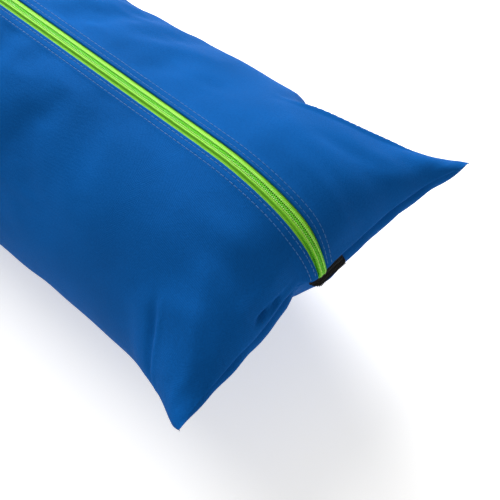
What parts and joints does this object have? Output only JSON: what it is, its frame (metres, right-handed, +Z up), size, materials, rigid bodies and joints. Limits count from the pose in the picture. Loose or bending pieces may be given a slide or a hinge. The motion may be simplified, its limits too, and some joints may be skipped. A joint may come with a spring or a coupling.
{
  "type": "telescope carry case",
  "caption": "Long padded fabric tube bag with a zipped top that opens as flaps, flat sewn end seams, webbing handles and folded webbing end tabs.",
  "frame": {"origin": "middle of the resting face, under the middle of the case", "axes": "+Y along the case and its zipper, -Y towards the pictured end, +Z up, +X to the right when looking along +Y"},
  "size_m": [0.304, 1.043, 0.2127],
  "materials": {
    "outer_fabric": "woven polyester, slight sheen",
    "foam": "soft closed-cell foam sheet, hidden",
    "lining": "smooth woven lining",
    "zip_tape": "woven zipper tape",
    "zip_coil": "nylon coil",
    "webbing": "ribbed black webbing",
    "wrap": "padded wrap",
    "slider_metal": "cast zipper metal"
  },
  "bodies": {
    "case": {"outer_shell": "outer_fabric", "foam_shell": "foam", "lining_shell": "lining", "band_near": "webbing", "band_far": "webbing", "end_tab_near": "webbing", "end_tab_far": "webbing", "tape_near_left": "zip_tape", "tape_near_right": "zip_tape", "tape_far_left": "zip_tape", "tape_far_right": "zip_tape", "coil_near_left": "zip_coil", "coil_near_right": "zip_coil", "coil_far_left": "zip_coil", "coil_far_right": "zip_coil"},
    "flap_left": {"outer_flap_left": "outer_fabric", "foam_flap_left": "foam", "lining_flap_left": "lining", "tape_left": "zip_tape", "coil_left": "zip_coil"},
    "flap_right": {"outer_flap_right": "outer_fabric", "foam_flap_right": "foam", "lining_flap_right": "lining", "tape_right": "zip_tape", "coil_right": "zip_coil"},
    "slider_near": {"slider_near": "slider_metal"},
    "pull_near": {"pull_near": "slider_metal"},
    "slider_far": {"slider_far": "slider_metal"},
    "pull_far": {"pull_far": "slider_metal"},
    "handle_left": {"handle_left": "webbing", "grip_left": "wrap"},
    "handle_right": {"handle_right": "webbing", "grip_right": "wrap"}
  },
  "joints": [
    {"name": "left_flap_open", "type": "hinge", "parent": "case", "child": "flap_left", "pos_m": [-0.09786, 0, 0.1525], "axis": [0, -1, 0], "range_deg": [0, 60]},
    {"name": "right_flap_open", "type": "hinge", "parent": "case", "child": "flap_right", "pos_m": [0.09786, 0, 0.1525], "axis": [0, 1, 0], "range_deg": [0, 60.5]},
    {"name": "near_slider_run", "type": "slide", "parent": "case", "child": "slider_near", "axis": [0, -1, 0], "range_m": [0, 0.359]},
    {"name": "far_slider_run", "type": "slide", "parent": "case", "child": "slider_far", "axis": [0, 1, 0], "range_m": [0, 0.359]},
    {"name": "near_pull_lift", "type": "hinge", "parent": "slider_near", "child": "pull_near", "pos_m": [0, -0.0125, 0.2097], "axis": [-1, 0, 0], "range_deg": [0, 100]},
    {"name": "far_pull_lift", "type": "hinge", "parent": "slider_far", "child": "pull_far", "pos_m": [0, 0.0125, 0.2097], "axis": [1, 0, 0], "range_deg": [0, 100]},
    {"name": "left_handle_swing", "type": "hinge", "parent": "case", "child": "handle_left", "pos_m": [-0.10265, 0, 0.147], "axis": [0, 1, 0], "range_deg": [0, 140]},
    {"name": "right_handle_swing", "type": "hinge", "parent": "case", "child": "handle_right", "pos_m": [0.10265, 0, 0.147], "axis": [0, -1, 0], "range_deg": [0, 140]}
  ],
  "couplings": [
    {"joint": "right_flap_open", "follows": "left_flap_open", "ratio": 1},
    {"joint": "near_slider_run", "follows": "left_flap_open", "m_per_rad": 0.3423},
    {"joint": "far_slider_run", "follows": "left_flap_open", "m_per_rad": 0.3423}
  ]
}
